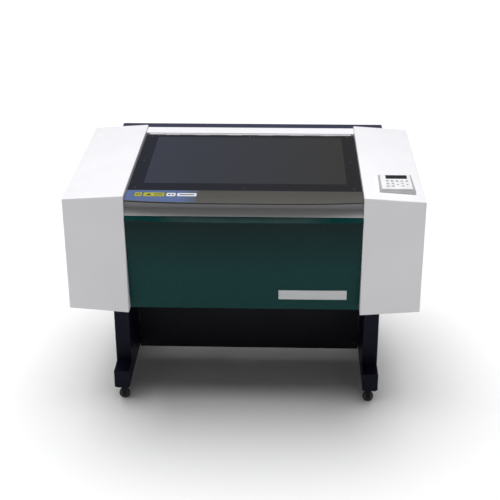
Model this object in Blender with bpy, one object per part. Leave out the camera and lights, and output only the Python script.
"""Laser cutter on its own stand: two sheet-metal wings, a glazed lid, a drop-down door and a moving bed.

Metres, +Z up, +X to the operator's right, the operator stands at -Y. The origin is on the floor
under the middle of the machine.
"""
import math

import bmesh
import bpy
from mathutils import Matrix, Vector

# Clearances and stock
GAP = 0.0003
SHEET = 0.002
PANEL = 0.003

# Wings: boxes on both sides of the work bay, their tops fall and their bottoms rise outward
HALF_WIDTH = 0.610
BAY_HALF = 0.403
FRONT_Y = -0.470
WING_BACK_Y = 0.281
WING_TOP_INNER = 0.870
WING_TOP_OUTER = 0.857
WING_BOTTOM_INNER = 0.430
WING_BOTTOM_OUTER = 0.446
BAY_FIT = BAY_HALF - GAP

# Chamber under the lid
FLOOR_BOTTOM = 0.434
FLOOR_TOP = 0.438
FLOOR_FRONT_Y = -0.4195
WALL_TOP = 0.8287
CROSS_RAIL_BACK_Y = -0.400
BACK_PANEL_Y = 0.2775
LINER_FRONT_Y = CROSS_RAIL_BACK_Y + GAP

# Lid and its rear hinge
LID_TOP = 0.855
LID_PLATE = 0.0055
LID_HALF = 0.401
LID_FRAME_BOTTOM = 0.830
LID_FRAME_TOP = LID_TOP - LID_PLATE - GAP
LID_FRAME_FRONT_Y = -0.440
LID_REAR_Y = 0.2069
GLASS_FRONT_Y = -0.3765
GLASS_REAR_Y = 0.2044
WINDOW_HALF = 0.352
WINDOW_FRONT_Y = -0.3075
WINDOW_REAR_Y = 0.178
RAIL_BOW = 0.0172
LID_AXIS_Y = 0.2104
LID_AXIS_Z = 0.8545
LID_OPEN_DEG = 65.0
KNUCKLE_R = 0.003
KNUCKLE_LENGTH = 0.060
KNUCKLE_GAP = 0.0005

# Gas struts: both pivots are equally far from the lid's axis, so the strut turns half as far as the lid
STRUT_X = 0.389
STRUT_LID_Y = 0.0104
STRUT_LID_Z = 0.820
STRUT_SPREAD_DEG = 66.0

# Drop-down front door
DOOR_HALF = 0.4015
DOOR_BOTTOM_Z = 0.432
DOOR_EDGE_Z = 0.784
DOOR_TOP_Z = 0.7985
DOOR_BOTTOM_Y = -0.4305
DOOR_EDGE_Y = -0.472
DOOR_BOW = 0.0145
DOOR_AXIS_Y = -0.424
DOOR_AXIS_Z = 0.436

# Motion system
RAIL_X = 0.363
RAIL_BASE_Z = 0.775
RAIL_HEAD_Z = 0.781
RAIL_TOP_Z = 0.7965
GANTRY_Y = 0.120
GANTRY_HALF_DEPTH = 0.022
HEAD_X = 0.300
SHAFT_Y = 0.240
SHAFT_Z = 0.755
PULLEY_R = 0.0127

# Lifting bed on four screws
BED_Z = 0.633
BED_THICK = 0.012
GRID_THICK = 0.0147
SCREW_X = 0.330
SCREW_YS = (-0.335, 0.115)
SCREW_R = 0.006
SCREW_TOP = 0.745

# Stand
LEG_INNER_X = 0.433
LEG_OUTER_X = 0.489
FOOT_BOTTOM = 0.056
FOOT_TOP = 0.125
FOOT_FRONT_Y = -0.360
FOOT_BACK_Y = 0.270
COLUMN_FRONT_Y = -0.280
COLUMN_BACK_Y = 0.190
CASTER_X = 0.461
CASTER_YS = (("front", -0.336), ("rear", 0.246))
CASTER_TOP = 0.053
WHEEL_R = 0.020
WHEEL_TRAIL = 0.005

# Tube housing behind the wings
HOUSING_HALF = 0.531
HOUSING_BACK_Y = 0.4875
HOUSING_BOTTOM = 0.600
HOUSING_TOP = 0.8077
COVER_THICK = 0.0035
DUCT_Z = 0.520
DUCT_R = 0.048

# Keypad on the right wing
PAD_X = 0.519
PAD_Y = -0.3255
PAD_HEIGHT = 0.0153            # over the wing at the keypad's middle; its face is level
PAD_SHOULDER = 0.006           # the bevelled edge round the face is this deep
PAD_PARTS_X = 0.0028           # the display and keys sit this far right of the middle
KEY_WIDTH = 0.012
KEY_TRAVEL_ROOM = 0.0032
KEY_PROUD = 0.0011
KEY_HEIGHT = 0.0030
COLUMN_PITCH = 0.0165
KEY_ROWS = (-0.0046, -0.0284, -0.0522)

# Mains inlet with its rocker, on the back of the right wing
INLET_X = 0.560
INLET_Z = 0.520
ROCKER_Z = INLET_Z + 0.019


# ---------------------------------------------------------------- helpers

def clear_scene():
    for obj in list(bpy.data.objects):
        bpy.data.objects.remove(obj, do_unlink=True)


def material(name, color, roughness, metallic=0.0):
    mat = bpy.data.materials.new(name)
    mat.use_nodes = True
    shader = mat.node_tree.nodes["Principled BSDF"]
    shader.inputs["Base Color"].default_value = (*color, 1.0)
    shader.inputs["Roughness"].default_value = roughness
    shader.inputs["Metallic"].default_value = metallic
    return mat


def add_block(bm, low, high):
    low = Vector(low)
    high = Vector(high)
    middle = Matrix.Translation((low + high) / 2)
    size = Matrix.Diagonal((*(high - low), 1.0))
    bmesh.ops.create_cube(bm, size=1.0, matrix=middle @ size)


def add_loft(bm, rings):
    """Join rings of points, one after another, and close both ends."""
    loops = [[bm.verts.new(point) for point in ring] for ring in rings]
    count = len(rings[0])
    for first, second in zip(loops, loops[1:]):
        for i in range(count):
            j = (i + 1) % count
            bm.faces.new((first[i], first[j], second[j], second[i]))
    bm.faces.new(loops[0])
    bm.faces.new(loops[-1])


def add_prism_x(bm, outline, x0, x1):
    add_loft(bm, [[(x, y, z) for y, z in outline] for x in (x0, x1)])


def add_prism_y(bm, outline, y0, y1):
    add_loft(bm, [[(x, y, z) for x, z in outline] for y in (y0, y1)])


def add_ring(bm, outer, inner, z0, z1):
    """A flat rectangular frame; outer and inner are (half width, front y, rear y)."""
    edges = []
    for half, front, rear in (outer, inner):
        corners = ((-half, front), (half, front), (half, rear), (-half, rear))
        for z in (z0, z1):
            edges.append([bm.verts.new((x, y, z)) for x, y in corners])
    out_low, out_high, in_low, in_high = edges
    for near, far in ((out_low, out_high), (in_high, in_low), (out_high, in_high), (in_low, out_low)):
        for i in range(4):
            j = (i + 1) % 4
            bm.faces.new((near[i], near[j], far[j], far[i]))


def add_turned(bm, profile, steps, axis="Z", centre=(0, 0, 0), direction=None):
    """Spin (radius, height) points about an axis through centre; both ends lie on the axis or it is a loop."""
    part = bmesh.new()
    points = [part.verts.new((radius, 0, height)) for radius, height in profile]
    closed = profile[0][0] > 0
    chain = list(zip(points, points[1:]))
    if closed:
        chain.append((points[-1], points[0]))
    edges = [part.edges.new(pair) for pair in chain]
    bmesh.ops.spin(part, geom=points + edges, cent=(0, 0, 0), axis=(0, 0, 1), angle=math.tau,
                   steps=steps, use_merge=True)
    bmesh.ops.remove_doubles(part, verts=part.verts, dist=1e-6)
    half_step = Matrix.Rotation(math.pi / steps, 4, "Z")
    if direction is None:
        direction = {"X": (1, 0, 0), "Y": (0, 1, 0), "Z": (0, 0, 1)}[axis]
    turn = Vector((0, 0, 1)).rotation_difference(Vector(direction)).to_matrix().to_4x4()
    bmesh.ops.transform(part, matrix=Matrix.Translation(centre) @ turn @ half_step, verts=part.verts)
    bmesh.ops.recalc_face_normals(part, faces=part.faces)
    mesh = bpy.data.meshes.new("turned")
    part.to_mesh(mesh)
    part.free()
    bm.from_mesh(mesh)
    bpy.data.meshes.remove(mesh)


def add_rod(bm, radius, steps, axis, centre, length):
    """A solid cylinder along a world axis, its middle at centre."""
    half = length / 2
    add_turned(bm, ((0, -half), (radius, -half), (radius, half), (0, half)), steps, axis, centre)


def make(name, bm, mat, origin=(0, 0, 0), parent=None, smooth=False):
    """Turn a bmesh, drawn in place, into an object whose own origin is the given point."""
    bmesh.ops.translate(bm, vec=-Vector(origin), verts=bm.verts)
    bmesh.ops.recalc_face_normals(bm, faces=bm.faces)
    mesh = bpy.data.meshes.new(name)
    bm.to_mesh(mesh)
    bm.free()
    obj = bpy.data.objects.new(name, mesh)
    obj.location = origin
    if mat:
        mesh.materials.append(mat)
    if parent:
        obj.parent = parent
    if smooth:
        mesh.shade_smooth()
        mesh.set_sharp_from_angle(angle=math.radians(35))
    bpy.context.scene.collection.objects.link(obj)
    return obj


def round_edges(obj, width, segments=1):
    bevel = obj.modifiers.new("rounded_edges", "BEVEL")
    bevel.width = width
    bevel.segments = segments
    bevel.limit_method = "ANGLE"
    bevel.angle_limit = math.radians(35)


def combine(obj, bm, operation):
    """Cut the shape out of an object, or weld it on, and hide the helper that does it."""
    helper = make(obj.name + "_" + operation.lower(), bm, None, parent=obj.parent)
    helper.hide_render = True
    helper.display_type = "WIRE"
    boolean = obj.modifiers.new(operation.lower(), "BOOLEAN")
    boolean.operation = operation
    boolean.solver = "EXACT"
    boolean.object = helper


def weld_boxes(obj, boxes):
    for low, high in boxes:
        bm = bmesh.new()
        add_block(bm, low, high)
        combine(obj, bm, "UNION")


def cut_boxes(obj, boxes):
    for low, high in boxes:
        bm = bmesh.new()
        add_block(bm, low, high)
        combine(obj, bm, "DIFFERENCE")


def span(side, near, far):
    """Two x values on one side of the machine, low one first."""
    return tuple(sorted((side * near, side * far)))


def bowed(x, half, depth):
    """How far an edge stands forward of its ends at x."""
    return depth * (1 - abs(x / half) ** 3)


def knuckle_spans(start_with):
    """The x spans of every other knuckle along a hinge as wide as the bay."""
    pitch = KNUCKLE_LENGTH
    count = 13
    first = -pitch * count / 2
    spans = []
    for i in range(start_with, count, 2):
        left = first + i * pitch
        spans.append((left + KNUCKLE_GAP, left + pitch - KNUCKLE_GAP))
    return spans


def weld_knuckles(obj, spans, axis_y, axis_z, bridge_low, bridge_high):
    """Hinge barrels along X, each joined to the object by a short bridge given in y and z."""
    for x0, x1 in spans:
        bm = bmesh.new()
        add_rod(bm, KNUCKLE_R, 12, "X", ((x0 + x1) / 2, axis_y, axis_z), x1 - x0)
        combine(obj, bm, "UNION")
        weld_boxes(obj, [((x0, *bridge_low), (x1, *bridge_high))])


# ---------------------------------------------------------------- wings and chamber

def wing_height(x, inner, outer):
    share = (abs(x) - BAY_HALF) / (HALF_WIDTH - BAY_HALF)
    return inner + (outer - inner) * share


def wing_outline(side, inset):
    near = BAY_HALF + inset
    far = HALF_WIDTH - inset
    bottoms = (WING_BOTTOM_INNER, WING_BOTTOM_OUTER)
    tops = (WING_TOP_INNER, WING_TOP_OUTER)
    return ((side * near, wing_height(near, *bottoms) + inset),
            (side * far, wing_height(far, *bottoms) + inset),
            (side * far, wing_height(far, *tops) - inset),
            (side * near, wing_height(near, *tops) - inset))


def build_wing(name, side, mat):
    bm = bmesh.new()
    add_prism_y(bm, wing_outline(side, 0), FRONT_Y, WING_BACK_Y)
    wing = make(name, bm, mat)
    round_edges(wing, 0.0025, 2)
    hollow = bmesh.new()
    add_prism_y(hollow, wing_outline(side, SHEET), FRONT_Y + SHEET, WING_BACK_Y - SHEET)
    combine(wing, hollow, "DIFFERENCE")
    x0, x1 = span(side, BAY_HALF - 0.01, BAY_HALF + 0.01)
    cut_boxes(wing, [((x0, -0.36, 0.50), (x1, 0.17, 0.80))])
    return wing


def build_chamber(mats):
    bm = bmesh.new()
    add_block(bm, (-BAY_FIT, FLOOR_FRONT_Y, FLOOR_BOTTOM), (BAY_FIT, BACK_PANEL_Y + PANEL, FLOOR_TOP))
    floor = make("floor_pan", bm, mats["chamber"])
    bridge = ((DOOR_AXIS_Y, DOOR_AXIS_Z - 0.0015), (FLOOR_FRONT_Y + 0.001, DOOR_AXIS_Z + 0.0015))
    weld_knuckles(floor, knuckle_spans(0), DOOR_AXIS_Y, DOOR_AXIS_Z, *bridge)

    bm = bmesh.new()
    add_block(bm, (-BAY_FIT, BACK_PANEL_Y, FLOOR_TOP + GAP), (BAY_FIT, BACK_PANEL_Y + PANEL, WALL_TOP))
    back = make("back_panel", bm, mats["chamber"])
    hole = bmesh.new()
    add_rod(hole, DUCT_R, 32, "Y", (0, BACK_PANEL_Y, DUCT_Z), 0.03)
    combine(back, hole, "DIFFERENCE")

    for name, side in (("left_chamber_wall", -1), ("right_chamber_wall", 1)):
        bm = bmesh.new()
        x0, x1 = span(side, BAY_FIT - PANEL, BAY_FIT)
        add_block(bm, (x0, LINER_FRONT_Y, FLOOR_TOP + GAP), (x1, BACK_PANEL_Y - GAP, WALL_TOP))
        make(name, bm, mats["chamber"])


def build_cross_rails(mats):
    """Front: a scooped face under the lid's nose, on a beam. Rear: a folded channel with the lid's hinge."""
    low = Vector((FRONT_Y, DOOR_TOP_Z + 0.0008))
    high = Vector((-0.456, 0.846))
    inward = Vector((high.y - low.y, low.x - high.x)).normalized() * 0.006
    scoop = []
    for i in range(7):
        t = i / 6
        scoop.append(tuple(high.lerp(low, t) + inward * (4 * t * (1 - t))))
    beam = ((-0.450, low.y), (-0.450, RAIL_BASE_Z), (CROSS_RAIL_BACK_Y, RAIL_BASE_Z),
            (CROSS_RAIL_BACK_Y, 0.825), (-0.4445, 0.825), (-0.4445, high.y))
    bm = bmesh.new()
    add_prism_x(bm, scoop + list(beam), -BAY_FIT, BAY_FIT)
    make("front_cross_rail", bm, mats["trim"])

    front = 0.2139
    back = WING_BACK_Y - GAP
    top = 0.860
    bottom = WALL_TOP + GAP
    channel = ((front, bottom), (front, top), (back, top), (back, bottom),
               (back - PANEL, bottom), (back - PANEL, top - PANEL), (front + PANEL, top - PANEL),
               (front + PANEL, bottom))
    bm = bmesh.new()
    add_prism_x(bm, channel, -BAY_FIT, BAY_FIT)
    rail = make("rear_cross_rail", bm, mats["white"])
    bridge = ((LID_AXIS_Y, 0.8500), (front + 0.001, LID_AXIS_Z))
    weld_knuckles(rail, knuckle_spans(0), LID_AXIS_Y, LID_AXIS_Z, *bridge)


# ---------------------------------------------------------------- lid, struts and door

def build_lid(mats):
    pivot = (0, LID_AXIS_Y, LID_AXIS_Z)
    outer = (LID_HALF - 0.0005, LID_FRAME_FRONT_Y, LID_REAR_Y)
    inner = (WINDOW_HALF, WINDOW_FRONT_Y, WINDOW_REAR_Y)
    bm = bmesh.new()
    add_ring(bm, outer, inner, LID_FRAME_BOTTOM, LID_FRAME_TOP)
    frame = make("lid_frame", bm, mats["dark_metal"], pivot)
    groove = bmesh.new()
    wall = PANEL
    add_ring(groove, (outer[0] - wall, outer[1] + wall, outer[2] - wall),
             (inner[0] + wall, inner[1] - wall, inner[2] + wall),
             LID_FRAME_BOTTOM - 0.01, LID_FRAME_TOP - wall)
    combine(frame, groove, "DIFFERENCE")
    bridge = ((GLASS_REAR_Y + GAP, LID_FRAME_TOP - 0.001), (LID_AXIS_Y, LID_AXIS_Z + 0.001))
    weld_knuckles(frame, knuckle_spans(1), LID_AXIS_Y, LID_AXIS_Z, *bridge)

    bm = bmesh.new()
    plate_bottom = LID_TOP - LID_PLATE
    add_block(bm, (-LID_HALF, GLASS_FRONT_Y, plate_bottom), (LID_HALF, GLASS_REAR_Y, LID_TOP))
    glass = make("lid_glass", bm, mats["glass"], pivot)
    round_edges(glass, 0.0006)

    rings = []
    stations = 16
    back = GLASS_FRONT_Y - GAP
    for i in range(stations + 1):
        x = LID_HALF * (2 * i / stations - 1)
        nose = FRONT_Y + GAP - bowed(x, LID_HALF, RAIL_BOW)
        outline = ((back, LID_TOP), (nose + 0.0020, LID_TOP), (nose + 0.0004, LID_TOP - 0.0010),
                   (nose, LID_TOP - 0.0025), (nose + 0.0015, plate_bottom), (back, plate_bottom))
        rings.append([(x, y, z) for y, z in outline])
    bm = bmesh.new()
    add_loft(bm, rings)
    make("lid_front_rail", bm, mats["rail"], pivot)


def strut_frame():
    """Body pivot, lid pivot and the unit vector between them, in the plane x = 0."""
    axis = Vector((0, LID_AXIS_Y, LID_AXIS_Z))
    lid_point = Vector((0, STRUT_LID_Y, STRUT_LID_Z))
    turn = Matrix.Rotation(math.radians(STRUT_SPREAD_DEG), 3, "X")
    body_point = axis + turn @ (lid_point - axis)
    direction = lid_point - body_point
    return body_point, lid_point, direction.normalized(), direction.length


def build_struts(mats):
    body_point, _, direction, closed = strut_frame()
    barrel_end = closed - 0.031
    barrel = ((0, -0.0070), (0.0050, -0.0050), (0.0070, 0), (0.0050, 0.0055), (0.0050, 0.010),
              (0.0080, 0.012), (0.0080, barrel_end - 0.002), (0.0070, barrel_end), (0.0046, barrel_end),
              (0.0046, 0.014), (0, 0.014))
    rod = ((0, 0.016), (0.0040, 0.016), (0.0040, closed - 0.009), (0.0058, closed - 0.005),
           (0.0066, closed), (0.0048, closed + 0.0045), (0, closed + 0.0062))
    for label, side in (("left", -1), ("right", 1)):
        base = Vector((side * STRUT_X, body_point.y, body_point.z))
        bm = bmesh.new()
        add_turned(bm, barrel, 14, centre=base, direction=direction)
        make(label + "_strut_cylinder", bm, mats["strut"], base, smooth=True)
        bm = bmesh.new()
        add_turned(bm, rod, 12, centre=base, direction=direction)
        make(label + "_strut_rod", bm, mats["steel"], base, smooth=True)


def build_door(mats):
    rings = []
    stations = 16
    skin = PANEL
    for i in range(stations + 1):
        x = DOOR_HALF * (2 * i / stations - 1)
        edge = DOOR_EDGE_Y - bowed(x, DOOR_HALF, DOOR_BOW)
        outline = ((DOOR_BOTTOM_Y, DOOR_BOTTOM_Z), (edge, DOOR_EDGE_Z), (FRONT_Y + 0.0005, DOOR_TOP_Z),
                   (-0.460, DOOR_TOP_Z), (-0.460, DOOR_TOP_Z - skin), (FRONT_Y + 0.003, DOOR_TOP_Z - skin),
                   (edge + skin, DOOR_EDGE_Z - 0.001), (DOOR_BOTTOM_Y + skin, DOOR_BOTTOM_Z))
        rings.append([(x, y, z) for y, z in outline])
    bm = bmesh.new()
    add_loft(bm, rings)
    door = make("front_door", bm, mats["green"], (0, DOOR_AXIS_Y, DOOR_AXIS_Z))
    bridge = ((DOOR_BOTTOM_Y + 0.001, DOOR_AXIS_Z - 0.0015), (DOOR_AXIS_Y, DOOR_AXIS_Z + 0.0015))
    weld_knuckles(door, knuckle_spans(1), DOOR_AXIS_Y, DOOR_AXIS_Z, *bridge)


# ---------------------------------------------------------------- motion system and bed

def build_motion(mats):
    back = BACK_PANEL_Y - GAP
    for name, side in (("left_y_rail", -1), ("right_y_rail", 1)):
        base = 0.013
        head = 0.0075
        outline = ((-base, RAIL_BASE_Z), (base, RAIL_BASE_Z), (base, RAIL_HEAD_Z), (head, RAIL_HEAD_Z),
                   (head, RAIL_TOP_Z), (-head, RAIL_TOP_Z), (-head, RAIL_HEAD_Z), (-base, RAIL_HEAD_Z))
        bm = bmesh.new()
        add_prism_y(bm, [(side * RAIL_X + x, z) for x, z in outline], CROSS_RAIL_BACK_Y + GAP, back)
        make(name, bm, mats["steel"])

    cheek_out = RAIL_X + 0.0115
    slot_out = RAIL_X + 0.0082
    slot_in = RAIL_X - 0.0082
    cheek_in = RAIL_X - 0.0115
    low = RAIL_HEAD_Z + 0.002
    belly = RAIL_TOP_Z + 0.002
    half = ((cheek_in, belly), (cheek_in, low), (slot_in, low), (slot_in, belly - 0.001),
            (slot_out, belly - 0.001), (slot_out, low), (cheek_out, low), (cheek_out, 0.8245))
    outline = list(half) + [(-x, z) for x, z in reversed(half)]
    bm = bmesh.new()
    add_prism_y(bm, outline, GANTRY_Y - GANTRY_HALF_DEPTH, GANTRY_Y + GANTRY_HALF_DEPTH)
    make("gantry_beam", bm, mats["aluminium"], (0, GANTRY_Y, belly))

    face = GANTRY_Y - GANTRY_HALF_DEPTH - GAP
    nozzle_y = GANTRY_Y - 0.033
    bm = bmesh.new()
    add_block(bm, (HEAD_X - 0.032, face - 0.022, 0.765), (HEAD_X + 0.032, face, 0.8235))
    head = make("laser_head", bm, mats["dark_metal"], (HEAD_X, nozzle_y, 0.800))
    round_edges(head, 0.0015)
    tube = bmesh.new()
    barrel = ((0, 0.770), (0.010, 0.770), (0.010, 0.712), (0.004, 0.688), (0, 0.688))
    add_turned(tube, barrel, 20, centre=(HEAD_X, nozzle_y, 0))
    combine(head, tube, "UNION")

    pulley_in = RAIL_X - 0.009
    pulley_out = RAIL_X + 0.009
    reach = 0.395
    half = ((0, -reach), (0.006, -reach), (0.006, -pulley_out), (PULLEY_R, -pulley_out),
            (PULLEY_R, -pulley_in), (0.006, -pulley_in))
    shaft = half + tuple((radius, -height) for radius, height in reversed(half))
    bm = bmesh.new()
    add_turned(bm, shaft, 20, "X", (0, SHAFT_Y, SHAFT_Z))
    make("drive_shaft", bm, mats["steel"], (0, SHAFT_Y, SHAFT_Z), smooth=True)


def build_bed(mats):
    bm = bmesh.new()
    top = BED_Z + BED_THICK
    add_ring(bm, (0.3475, -0.352, 0.132), (0.300, -0.305, 0.085), BED_Z, top)
    bed = make("bed_frame", bm, mats["aluminium"], (0, 0, BED_Z))
    places = [(side * SCREW_X, y) for y in SCREW_YS for side in (-1, 1)]
    for x, y in places:
        hole = bmesh.new()
        add_rod(hole, SCREW_R + 0.001, 16, "Z", (x, y, BED_Z), 0.06)
        combine(bed, hole, "DIFFERENCE")

    bm = bmesh.new()
    add_block(bm, (-0.312, -0.317, top + GAP), (0.312, 0.097, top + GAP + GRID_THICK))
    make("honeycomb_panel", bm, mats["aluminium"], (0, 0, BED_Z))

    names = ("front_left", "front_right", "rear_left", "rear_right")
    foot = FLOOR_TOP + GAP
    profile = ((0, foot), (0.012, foot), (0.012, foot + 0.009), (SCREW_R, foot + 0.010),
               (SCREW_R, SCREW_TOP), (0, SCREW_TOP))
    for name, (x, y) in zip(names, places):
        bm = bmesh.new()
        add_turned(bm, profile, 14, centre=(x, y, 0))
        make(name + "_lift_screw", bm, mats["steel"], (x, y, foot), smooth=True)


# ---------------------------------------------------------------- stand

def build_stand(mats):
    for name, side in (("left_leg", -1), ("right_leg", 1)):
        outline = ((FOOT_FRONT_Y, FOOT_BOTTOM), (FOOT_BACK_Y, FOOT_BOTTOM), (FOOT_BACK_Y, FOOT_TOP),
                   (COLUMN_BACK_Y, FOOT_TOP), (COLUMN_BACK_Y, None), (COLUMN_FRONT_Y, None),
                   (COLUMN_FRONT_Y, FOOT_TOP), (FOOT_FRONT_Y, FOOT_TOP))
        rings = []
        for x in span(side, LEG_INNER_X, LEG_OUTER_X):
            top = wing_height(x, WING_BOTTOM_INNER, WING_BOTTOM_OUTER) - GAP
            rings.append([(x, y, top if z is None else z) for y, z in outline])
        bm = bmesh.new()
        add_loft(bm, rings)
        leg = make(name, bm, mats["navy"])
        round_edges(leg, 0.002)
        x0, x1 = span(side, LEG_INNER_X + PANEL, LEG_OUTER_X - PANEL)
        cut_boxes(leg, [((x0, COLUMN_FRONT_Y + PANEL, FOOT_TOP + PANEL), (x1, COLUMN_BACK_Y - PANEL, 0.5)),
                        ((x0, -0.300, 0.0), (x1, 0.205, FOOT_TOP - PANEL))])
        pad_x0, pad_x1 = span(side, CASTER_X - 0.022, CASTER_X + 0.022)
        weld_boxes(leg, [((pad_x0, y - 0.022, CASTER_TOP + GAP), (pad_x1, y + 0.022, FOOT_BOTTOM + 0.001))
                         for _, y in CASTER_YS])

    x = LEG_INNER_X - GAP
    y = -0.0285
    outline = ((y, 0.045), (y + 0.016, 0.045), (y + 0.016, 0.048), (y + PANEL, 0.048),
               (y + PANEL, WING_BOTTOM_INNER - GAP), (y, WING_BOTTOM_INNER - GAP))
    bm = bmesh.new()
    add_prism_x(bm, outline, -x, x)
    make("modesty_panel", bm, mats["black"])


def build_caster(label, side, y, mats):
    x = side * CASTER_X
    wheel_x = x - side * WHEEL_TRAIL
    bm = bmesh.new()
    add_rod(bm, 0.015, 20, "Z", (x, y, CASTER_TOP - 0.003), 0.006)
    fork = make(label + "_caster_fork", bm, mats["black"], (x, y, CASTER_TOP), smooth=True)
    for cheek_y in (y - 0.0092, y + 0.0092):
        outline = ((wheel_x - 0.006, 0.013), (wheel_x + 0.006, 0.013), (wheel_x + 0.010, 0.048),
                   (wheel_x - 0.010, 0.048))
        cheek = bmesh.new()
        add_prism_y(cheek, outline, cheek_y - 0.001, cheek_y + 0.001)
        combine(fork, cheek, "UNION")
    axle = bmesh.new()
    add_rod(axle, 0.003, 16, "Y", (wheel_x, y, WHEEL_R), 0.0195)
    combine(fork, axle, "UNION")

    steps = 24
    tread = WHEEL_R / math.cos(math.pi / steps)
    bore = 0.0031
    profile = ((bore, -0.0065), (tread * 0.93, -0.0065), (tread, -0.005), (tread, 0.005),
               (tread * 0.93, 0.0065), (bore, 0.0065))
    bm = bmesh.new()
    add_turned(bm, profile, steps, "Y", (wheel_x, y, WHEEL_R))
    make(label + "_caster_wheel", bm, mats["rubber"], (wheel_x, y, WHEEL_R), smooth=True)


# ---------------------------------------------------------------- tube housing and rear fittings

def build_rear(mats):
    front = WING_BACK_Y + GAP
    rim = HOUSING_TOP - COVER_THICK - GAP
    bm = bmesh.new()
    add_block(bm, (-HOUSING_HALF, front, HOUSING_BOTTOM), (HOUSING_HALF, HOUSING_BACK_Y, rim))
    housing = make("tube_housing", bm, mats["navy"])
    cut_boxes(housing, [((-HOUSING_HALF + SHEET, front + SHEET, HOUSING_BOTTOM + SHEET),
                         (HOUSING_HALF - SHEET, HOUSING_BACK_Y - SHEET, 0.9))])

    bm = bmesh.new()
    add_block(bm, (-HOUSING_HALF, front, rim + GAP), (HOUSING_HALF, HOUSING_BACK_Y, HOUSING_TOP))
    cover = make("tube_cover", bm, mats["navy"])
    round_edges(cover, 0.001)

    half = ((0, -0.500), (0.007, -0.500), (0.007, -0.470), (0.0150, -0.460), (0.0275, -0.450))
    profile = half + tuple((radius, -height) for radius, height in reversed(half))
    bm = bmesh.new()
    add_turned(bm, profile, 24, "X", (0, 0.385, 0.690))
    make("laser_tube", bm, mats["glass"], smooth=True)

    start = BACK_PANEL_Y + PANEL + GAP
    profile = ((DUCT_R, start), (0.064, start), (0.064, start + 0.003), (DUCT_R + 0.002, start + 0.003),
               (DUCT_R + 0.002, start + 0.065), (DUCT_R, start + 0.065))
    bm = bmesh.new()
    add_turned(bm, profile, 32, "Y", (0, 0, DUCT_Z))
    make("exhaust_spigot", bm, mats["steel"], smooth=True)

    bm = bmesh.new()
    add_block(bm, (-0.575, -0.25, 0.452), (-0.445, 0.05, 0.600))
    supply = make("laser_power_supply", bm, mats["aluminium"])
    cut_boxes(supply, [((-0.573, -0.248, 0.454), (-0.447, 0.06, 0.598))])


def build_inlet(wing, mats):
    """A flush mains module: socket below, rocker above, one bezel."""
    wall = WING_BACK_Y
    cut_boxes(wing, [((INLET_X - 0.0145, wall - 0.01, INLET_Z - 0.0135),
                      (INLET_X + 0.0145, wall + 0.01, ROCKER_Z + 0.0125))])
    bm = bmesh.new()
    add_block(bm, (INLET_X - 0.019, wall + GAP, INLET_Z - 0.020), (INLET_X + 0.019, wall + 0.003, ROCKER_Z + 0.018))
    inlet = make("power_inlet", bm, mats["black"])
    weld_boxes(inlet, [((INLET_X - 0.0142, wall - 0.022, INLET_Z - 0.0132),
                        (INLET_X + 0.0142, wall + 0.001, ROCKER_Z + 0.0122))])
    cut_boxes(inlet, [((INLET_X - 0.012, wall - 0.015, INLET_Z - 0.0085),
                       (INLET_X + 0.012, wall + 0.01, INLET_Z + 0.0085)),
                      ((INLET_X - 0.0110, wall - 0.012, ROCKER_Z - 0.0072),
                       (INLET_X + 0.0110, wall + 0.01, ROCKER_Z + 0.0072))])
    pivot_y = wall - 0.003
    tilt = math.radians(7)
    outline = []
    for reach, out in ((-0.0060, -0.004), (0.0060, -0.004), (0.0062, 0.0078), (0, 0.0066), (-0.0062, 0.0078)):
        outline.append((pivot_y + out * math.cos(tilt) - reach * math.sin(tilt),
                        ROCKER_Z + reach * math.cos(tilt) + out * math.sin(tilt)))
    bm = bmesh.new()
    add_prism_x(bm, outline, INLET_X - 0.0105, INLET_X + 0.0105)
    make("power_switch", bm, mats["key"], (INLET_X, pivot_y, ROCKER_Z))


# ---------------------------------------------------------------- keypad

def key_layout():
    """Names, places and depths of the thirteen keys: one row of five, four more, and an arrow cross."""
    columns = [PAD_PARTS_X + (i - 2) * COLUMN_PITCH for i in range(5)]
    tall = 0.016
    short = 0.0098
    keys = [("key_row_%d" % (i + 1), x, KEY_ROWS[0], tall) for i, x in enumerate(columns)]
    for row, y in enumerate(KEY_ROWS[1:]):
        for column in range(2):
            keys.append(("key_side_%d" % (row * 2 + column + 1), columns[column], y, tall))
    middle = (KEY_ROWS[1] + KEY_ROWS[2]) / 2 + 0.004
    keys.append(("key_left", columns[2], middle, short))
    keys.append(("key_right", columns[4], middle, short))
    keys.append(("key_up", columns[3], middle + 0.012, short))
    keys.append(("key_down", columns[3], middle - 0.012, short))
    return keys


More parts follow.
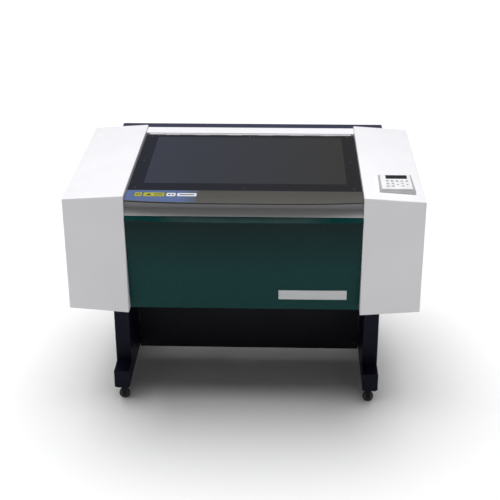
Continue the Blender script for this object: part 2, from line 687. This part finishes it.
def build_keypad(mats):
    """A level face over a base that follows the sloping wing top; keys and display sit in the face."""
    frame = bpy.data.objects.new("keypad_frame", None)
    frame.location = (PAD_X, PAD_Y, wing_height(PAD_X, WING_TOP_INNER, WING_TOP_OUTER))
    bpy.context.scene.collection.objects.link(frame)

    base = ((-0.0613, -0.0805), (0.0613, -0.0805), (0.0575, 0.0765), (-0.0575, 0.0765))
    shoulder = ((-0.0605, -0.0800), (0.0605, -0.0800), (0.0570, 0.0700), (-0.0570, 0.0700))
    face = ((-0.0530, -0.0760), (0.0505, -0.0760), (0.0505, 0.0580), (-0.0530, 0.0580))
    fall = (WING_TOP_INNER - WING_TOP_OUTER) / (HALF_WIDTH - BAY_HALF)
    bm = bmesh.new()
    add_loft(bm, [[(x, y, GAP - fall * x) for x, y in base],
                  [(x, y, PAD_HEIGHT - PAD_SHOULDER) for x, y in shoulder],
                  [(x, y, PAD_HEIGHT) for x, y in face]])
    housing = make("keypad_housing", bm, mats["white"], parent=frame)
    round_edges(housing, 0.0015, 2)

    screen = ((PAD_PARTS_X - 0.0368, 0.0172), (PAD_PARTS_X + 0.0368, 0.0522))
    (sx0, sy0), (sx1, sy1) = screen
    cut_boxes(housing, [((sx0, sy0, PAD_HEIGHT - 0.002), (sx1, sy1, PAD_HEIGHT + 0.01))])
    bm = bmesh.new()
    add_block(bm, (sx0 + GAP, sy0 + GAP, PAD_HEIGHT - 0.002 + GAP), (sx1 - GAP, sy1 - GAP, PAD_HEIGHT - 0.0002))
    make("keypad_screen", bm, mats["screen"], parent=frame)

    half = KEY_WIDTH / 2
    for name, x, y, depth in key_layout():
        pocket = ((x - half - GAP, y - depth / 2 - GAP, PAD_HEIGHT - KEY_TRAVEL_ROOM),
                  (x + half + GAP, y + depth / 2 + GAP, PAD_HEIGHT + 0.01))
        cut_boxes(housing, [pocket])
        bm = bmesh.new()
        top = PAD_HEIGHT + KEY_PROUD
        add_block(bm, (x - half, y - depth / 2, top - KEY_HEIGHT), (x + half, y + depth / 2, top))
        key = make(name, bm, mats["key"], (x, y, PAD_HEIGHT), parent=frame)
        round_edges(key, 0.0006)


# ---------------------------------------------------------------- the whole machine

def main():
    clear_scene()
    mats = {
        "white": material("white_coat", (0.90, 0.90, 0.91), 0.45),
        "green": material("green_coat", (0.012, 0.045, 0.043), 0.25),
        "navy": material("navy_coat", (0.012, 0.014, 0.035), 0.45),
        "black": material("black_coat", (0.012, 0.012, 0.014), 0.5),
        "rail": material("rail_metal", (0.12, 0.115, 0.10), 0.4, 0.6),
        "trim": material("trim_metal", (0.20, 0.19, 0.20), 0.35, 0.7),
        "dark_metal": material("dark_frame_coat", (0.03, 0.03, 0.04), 0.5),
        "glass": material("tinted_glass", (0.03, 0.03, 0.035), 0.1),
        "chamber": material("chamber_coat", (0.10, 0.10, 0.11), 0.6),
        "steel": material("bright_steel", (0.6, 0.6, 0.62), 0.3, 1.0),
        "aluminium": material("aluminium", (0.7, 0.7, 0.72), 0.4, 1.0),
        "strut": material("strut_black", (0.02, 0.02, 0.02), 0.35),
        "rubber": material("caster_tread", (0.02, 0.02, 0.02), 0.7),
        "key": material("key_plastic", (0.75, 0.76, 0.78), 0.5),
        "screen": material("screen_black", (0.02, 0.022, 0.025), 0.15),
    }
    build_wing("left_casing", -1, mats["white"])
    right = build_wing("right_casing", 1, mats["white"])
    build_chamber(mats)
    build_cross_rails(mats)
    build_lid(mats)
    build_struts(mats)
    build_door(mats)
    build_motion(mats)
    build_bed(mats)
    build_stand(mats)
    for side_name, side in (("left", -1), ("right", 1)):
        for end_name, y in CASTER_YS:
            build_caster(end_name + "_" + side_name, side, y, mats)
    build_rear(mats)
    build_inlet(right, mats)
    build_keypad(mats)


main()
